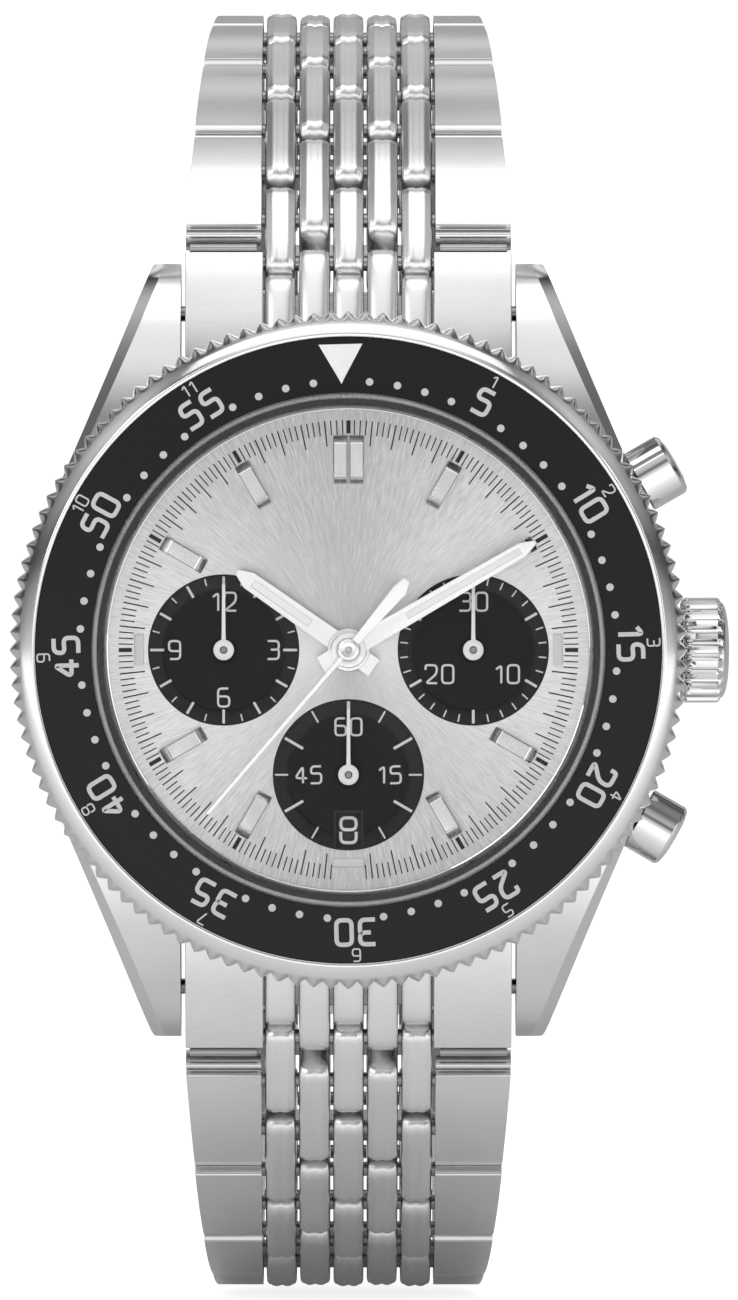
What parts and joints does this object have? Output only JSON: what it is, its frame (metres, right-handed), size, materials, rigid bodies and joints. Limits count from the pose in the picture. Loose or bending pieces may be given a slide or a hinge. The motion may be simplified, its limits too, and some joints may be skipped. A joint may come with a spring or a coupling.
{
  "type": "wristwatch",
  "caption": "Steel chronograph wristwatch with a toothed turning bezel, sub-dials, pushers, a pull-out crown and a jointed beads-of-rice bracelet with a folding clasp",
  "frame": {"origin": "centre of the case back's outer face, on the axis of the hands", "axes": "+Z towards twelve o'clock, +X towards the crown, -Y out of the dial, +Y into the wrist"},
  "size_m": [0.0447, 0.0605, 0.0818],
  "materials": {
    "steel": "satin brushed",
    "polished": "mirror polished",
    "black_insert": "satin black coating",
    "dial_silver": "sunray brushed silver",
    "date_black": "matte black print",
    "hand_silver": "rhodium plated",
    "movement": "striped nickel finish",
    "brass": "fine brushed",
    "crystal": "clear sapphire"
  },
  "bodies": {
    "head": {"case_middle": "steel", "case_back": "steel", "case_back_crystal": "crystal", "crystal": "crystal", "inner_flange": "steel", "dial": "dial_silver", "main_plate": "movement", "movement_bridge": "movement", "end_link_upper": "steel", "end_link_lower": "steel"},
    "bezel": {"bezel_ring": "steel", "bezel_insert": "black_insert"},
    "hour_hand": {"hour_hand": "hand_silver"},
    "minute_hand": {"minute_hand": "hand_silver"},
    "chrono_seconds_hand": {"chrono_seconds_hand": "hand_silver"},
    "minute_counter_hand": {"minute_counter_hand": "hand_silver"},
    "hour_counter_hand": {"hour_counter_hand": "hand_silver"},
    "small_seconds_hand": {"small_seconds_hand": "hand_silver"},
    "date_disc": {"date_disc": "date_black"},
    "rotor": {"rotor": "movement"},
    "balance_wheel": {"balance_wheel": "brass"},
    "mainspring_barrel": {"mainspring_barrel": "brass"},
    "pusher_start": {"pusher_start": "polished"},
    "pusher_reset": {"pusher_reset": "polished"},
    "setting_slide": {"setting_lever": "movement"},
    "crown_and_stem": {"crown": "polished", "winding_stem": "movement"},
    "upper_bead_link_1": {"upper_bead_link_1": "steel"},
    "upper_outer_link_1": {"upper_outer_link_1": "steel"},
    "upper_bead_link_2": {"upper_bead_link_2": "steel"},
    "upper_outer_link_2": {"upper_outer_link_2": "steel"},
    "upper_bead_link_3": {"upper_bead_link_3": "steel"},
    "upper_outer_link_3": {"upper_outer_link_3": "steel"},
    "upper_bead_link_4": {"upper_bead_link_4": "steel"},
    "upper_outer_link_4": {"upper_outer_link_4": "steel"},
    "upper_bead_link_5": {"upper_bead_link_5": "steel"},
    "upper_outer_link_5": {"upper_outer_link_5": "steel"},
    "upper_bead_link_6": {"upper_bead_link_6": "steel"},
    "upper_outer_link_6": {"upper_outer_link_6": "steel"},
    "upper_bead_link_7": {"upper_bead_link_7": "steel"},
    "upper_outer_link_7": {"upper_outer_link_7": "steel"},
    "lower_bead_link_1": {"lower_bead_link_1": "steel"},
    "lower_outer_link_1": {"lower_outer_link_1": "steel"},
    "lower_bead_link_2": {"lower_bead_link_2": "steel"},
    "lower_outer_link_2": {"lower_outer_link_2": "steel"},
    "lower_bead_link_3": {"lower_bead_link_3": "steel"},
    "lower_outer_link_3": {"lower_outer_link_3": "steel"},
    "lower_bead_link_4": {"lower_bead_link_4": "steel"},
    "lower_outer_link_4": {"lower_outer_link_4": "steel"},
    "lower_bead_link_5": {"lower_bead_link_5": "steel"},
    "lower_outer_link_5": {"lower_outer_link_5": "steel"},
    "lower_bead_link_6": {"lower_bead_link_6": "steel"},
    "lower_outer_link_6": {"lower_outer_link_6": "steel"},
    "lower_bead_link_7": {"lower_bead_link_7": "steel"},
    "lower_outer_link_7": {"lower_outer_link_7": "steel"},
    "clasp_inner_blade": {"clasp_inner_blade": "polished"},
    "clasp_outer_blade": {"clasp_outer_blade": "polished"},
    "clasp_cover": {"clasp_cover": "polished"},
    "clasp_button_right": {"clasp_button_right": "polished"},
    "clasp_button_left": {"clasp_button_left": "polished"}
  },
  "joints": [
    {"name": "bezel_turn", "type": "hinge", "parent": "head", "child": "bezel", "pos_m": [0, -0.0117, 0], "axis": [0, 1, 0], "continuous": true},
    {"name": "hour_hand_turn", "type": "hinge", "parent": "head", "child": "hour_hand", "pos_m": [0, -0.01, 0], "axis": [0, 1, 0], "continuous": true},
    {"name": "minute_hand_turn", "type": "hinge", "parent": "head", "child": "minute_hand", "pos_m": [0, -0.0105, 0], "axis": [0, 1, 0], "continuous": true},
    {"name": "small_seconds_turn", "type": "hinge", "parent": "head", "child": "small_seconds_hand", "pos_m": [0, -0.0092, -0.00775], "axis": [0, 1, 0], "continuous": true},
    {"name": "barrel_turn", "type": "hinge", "parent": "head", "child": "mainspring_barrel", "pos_m": [-0.0065, -0.0065, 0.008], "axis": [0, 1, 0], "continuous": true},
    {"name": "chrono_seconds_turn", "type": "hinge", "parent": "head", "child": "chrono_seconds_hand", "pos_m": [0, -0.0111, 0], "axis": [0, 1, 0], "continuous": true},
    {"name": "minute_counter_turn", "type": "hinge", "parent": "head", "child": "minute_counter_hand", "pos_m": [0.00775, -0.0092, 0], "axis": [0, 1, 0], "continuous": true},
    {"name": "hour_counter_turn", "type": "hinge", "parent": "head", "child": "hour_counter_hand", "pos_m": [-0.00775, -0.0092, 0], "axis": [0, 1, 0], "continuous": true},
    {"name": "date_turn", "type": "hinge", "parent": "head", "child": "date_disc", "pos_m": [0, -0.0081, 0], "axis": [0, 1, 0], "continuous": true},
    {"name": "rotor_turn", "type": "hinge", "parent": "head", "child": "rotor", "pos_m": [0, -0.003, 0], "axis": [0, 1, 0], "continuous": true},
    {"name": "balance_swing", "type": "hinge", "parent": "head", "child": "balance_wheel", "pos_m": [0.0065, -0.0045, -0.0085], "axis": [0, 1, 0], "range_deg": [-270, 270], "stiffness_Nm_per_rad": 0.000001},
    {"name": "crown_pull", "type": "slide", "parent": "head", "child": "setting_slide", "axis": [1, 0, 0], "range_m": [0, 0.0012]},
    {"name": "crown_turn", "type": "hinge", "parent": "setting_slide", "child": "crown_and_stem", "pos_m": [0.02065, -0.0064, 0], "axis": [1, 0, 0], "continuous": true},
    {"name": "start_press", "type": "slide", "parent": "head", "child": "pusher_start", "axis": [-0.866, 0, -0.5], "range_m": [0, 0.001], "stiffness_N_per_m": 3000, "springref_m": -0.0005},
    {"name": "reset_press", "type": "slide", "parent": "head", "child": "pusher_reset", "axis": [-0.866, 0, 0.5], "range_m": [0, 0.001], "stiffness_N_per_m": 3000, "springref_m": -0.0005},
    {"name": "upper_bead_hinge_1", "type": "hinge", "parent": "head", "child": "upper_bead_link_1", "pos_m": [0, -0.0045, 0.0241], "axis": [1, 0, 0], "range_deg": [0, 31]},
    {"name": "upper_outer_hinge_1", "type": "hinge", "parent": "upper_bead_link_1", "child": "upper_outer_link_1", "pos_m": [0, -0.00285, 0.02684], "axis": [1, 0, 0], "range_deg": [0, 9]},
    {"name": "upper_bead_hinge_2", "type": "hinge", "parent": "upper_outer_link_1", "child": "upper_bead_link_2", "pos_m": [0, -0.00025, 0.02994], "axis": [1, 0, 0], "range_deg": [0, 8.5]},
    {"name": "upper_outer_hinge_2", "type": "hinge", "parent": "upper_bead_link_2", "child": "upper_outer_link_2", "pos_m": [0, 0.00279, 0.03263], "axis": [1, 0, 0], "range_deg": [0, 8]},
    {"name": "upper_bead_hinge_3", "type": "hinge", "parent": "upper_outer_link_2", "child": "upper_bead_link_3", "pos_m": [0, 0.00616, 0.03486], "axis": [1, 0, 0], "range_deg": [0, 7.5]},
    {"name": "upper_outer_hinge_3", "type": "hinge", "parent": "upper_bead_link_3", "child": "upper_outer_link_3", "pos_m": [0, 0.0098, 0.03664], "axis": [1, 0, 0], "range_deg": [0, 7]},
    {"name": "upper_bead_hinge_4", "type": "hinge", "parent": "upper_outer_link_3", "child": "upper_bead_link_4", "pos_m": [0, 0.01363, 0.03796], "axis": [1, 0, 0], "range_deg": [0, 7]},
    {"name": "upper_outer_hinge_4", "type": "hinge", "parent": "upper_bead_link_4", "child": "upper_outer_link_4", "pos_m": [0, 0.01759, 0.0388], "axis": [1, 0, 0], "range_deg": [0, 6.5]},
    {"name": "upper_bead_hinge_5", "type": "hinge", "parent": "upper_outer_link_4", "child": "upper_bead_link_5", "pos_m": [0, 0.02162, 0.03919], "axis": [1, 0, 0], "range_deg": [0, 10.5]},
    {"name": "upper_outer_hinge_5", "type": "hinge", "parent": "upper_bead_link_5", "child": "upper_outer_link_5", "pos_m": [0, 0.02566, 0.03884], "axis": [1, 0, 0], "range_deg": [0, 13]},
    {"name": "upper_bead_hinge_6", "type": "hinge", "parent": "upper_outer_link_5", "child": "upper_bead_link_6", "pos_m": [0, 0.02951, 0.03758], "axis": [1, 0, 0], "range_deg": [0, 13]},
    {"name": "upper_outer_hinge_6", "type": "hinge", "parent": "upper_bead_link_6", "child": "upper_outer_link_6", "pos_m": [0, 0.03298, 0.0355], "axis": [1, 0, 0], "range_deg": [0, 13]},
    {"name": "upper_bead_hinge_7", "type": "hinge", "parent": "upper_outer_link_6", "child": "upper_bead_link_7", "pos_m": [0, 0.0359, 0.03268], "axis": [1, 0, 0], "range_deg": [0, 13]},
    {"name": "upper_outer_hinge_7", "type": "hinge", "parent": "upper_bead_link_7", "child": "upper_outer_link_7", "pos_m": [0, 0.0381, 0.02929], "axis": [1, 0, 0], "range_deg": [0, 13]},
    {"name": "lower_bead_hinge_1", "type": "hinge", "parent": "head", "child": "lower_bead_link_1", "pos_m": [0, -0.0045, -0.0241], "axis": [-1, 0, 0], "range_deg": [0, 31]},
    {"name": "lower_outer_hinge_1", "type": "hinge", "parent": "lower_bead_link_1", "child": "lower_outer_link_1", "pos_m": [0, -0.00285, -0.02684], "axis": [-1, 0, 0], "range_deg": [0, 9]},
    {"name": "lower_bead_hinge_2", "type": "hinge", "parent": "lower_outer_link_1", "child": "lower_bead_link_2", "pos_m": [0, -0.00025, -0.02994], "axis": [-1, 0, 0], "range_deg": [0, 8.5]},
    {"name": "lower_outer_hinge_2", "type": "hinge", "parent": "lower_bead_link_2", "child": "lower_outer_link_2", "pos_m": [0, 0.00279, -0.03263], "axis": [-1, 0, 0], "range_deg": [0, 8]},
    {"name": "lower_bead_hinge_3", "type": "hinge", "parent": "lower_outer_link_2", "child": "lower_bead_link_3", "pos_m": [0, 0.00616, -0.03486], "axis": [-1, 0, 0], "range_deg": [0, 7.5]},
    {"name": "lower_outer_hinge_3", "type": "hinge", "parent": "lower_bead_link_3", "child": "lower_outer_link_3", "pos_m": [0, 0.0098, -0.03664], "axis": [-1, 0, 0], "range_deg": [0, 7]},
    {"name": "lower_bead_hinge_4", "type": "hinge", "parent": "lower_outer_link_3", "child": "lower_bead_link_4", "pos_m": [0, 0.01363, -0.03796], "axis": [-1, 0, 0], "range_deg": [0, 7]},
    {"name": "lower_outer_hinge_4", "type": "hinge", "parent": "lower_bead_link_4", "child": "lower_outer_link_4", "pos_m": [0, 0.01759, -0.0388], "axis": [-1, 0, 0], "range_deg": [0, 6.5]},
    {"name": "lower_bead_hinge_5", "type": "hinge", "parent": "lower_outer_link_4", "child": "lower_bead_link_5", "pos_m": [0, 0.02162, -0.03919], "axis": [-1, 0, 0], "range_deg": [0, 10.5]},
    {"name": "lower_outer_hinge_5", "type": "hinge", "parent": "lower_bead_link_5", "child": "lower_outer_link_5", "pos_m": [0, 0.02566, -0.03884], "axis": [-1, 0, 0], "range_deg": [0, 13]},
    {"name": "lower_bead_hinge_6", "type": "hinge", "parent": "lower_outer_link_5", "child": "lower_bead_link_6", "pos_m": [0, 0.02951, -0.03758], "axis": [-1, 0, 0], "range_deg": [0, 13]},
    {"name": "lower_outer_hinge_6", "type": "hinge", "parent": "lower_bead_link_6", "child": "lower_outer_link_6", "pos_m": [0, 0.03298, -0.0355], "axis": [-1, 0, 0], "range_deg": [0, 13]},
    {"name": "lower_bead_hinge_7", "type": "hinge", "parent": "lower_outer_link_6", "child": "lower_bead_link_7", "pos_m": [0, 0.0359, -0.03268], "axis": [-1, 0, 0], "range_deg": [0, 13]},
    {"name": "lower_outer_hinge_7", "type": "hinge", "parent": "lower_bead_link_7", "child": "lower_outer_link_7", "pos_m": [0, 0.0381, -0.02929], "axis": [-1, 0, 0], "range_deg": [0, 13]},
    {"name": "clasp_blade_hinge", "type": "hinge", "parent": "upper_outer_link_7", "child": "clasp_inner_blade", "pos_m": [0, 0.03949, 0.02548], "axis": [1, 0, 0], "range_deg": [0, 7]},
    {"name": "clasp_fold", "type": "hinge", "parent": "clasp_inner_blade", "child": "clasp_outer_blade", "pos_m": [0, 0.04052, -0.0205], "axis": [-1, 0, 0], "range_deg": [0, 130]},
    {"name": "clasp_cover_hinge", "type": "hinge", "parent": "clasp_outer_blade", "child": "clasp_cover", "pos_m": [0, 0.04126, 0.02168], "axis": [1, 0, 0], "range_deg": [0, 130]},
    {"name": "clasp_button_right_press", "type": "slide", "parent": "clasp_outer_blade", "child": "clasp_button_right", "axis": [-1, 0, 0], "range_m": [0, 0.0005], "stiffness_N_per_m": 2000, "springref_m": -0.0003},
    {"name": "clasp_button_left_press", "type": "slide", "parent": "clasp_outer_blade", "child": "clasp_button_left", "axis": [1, 0, 0], "range_m": [0, 0.0005], "stiffness_N_per_m": 2000, "springref_m": -0.0003}
  ],
  "couplings": [
    {"joint": "hour_hand_turn", "follows": "minute_hand_turn", "ratio": 0.083333},
    {"joint": "small_seconds_turn", "follows": "minute_hand_turn", "ratio": 60},
    {"joint": "barrel_turn", "follows": "minute_hand_turn", "ratio": -0.125},
    {"joint": "minute_counter_turn", "follows": "chrono_seconds_turn", "ratio": 0.033333},
    {"joint": "hour_counter_turn", "follows": "chrono_seconds_turn", "ratio": 0.0013889},
    {"joint": "clasp_cover_hinge", "follows": "clasp_fold", "ratio": 1}
  ]
}
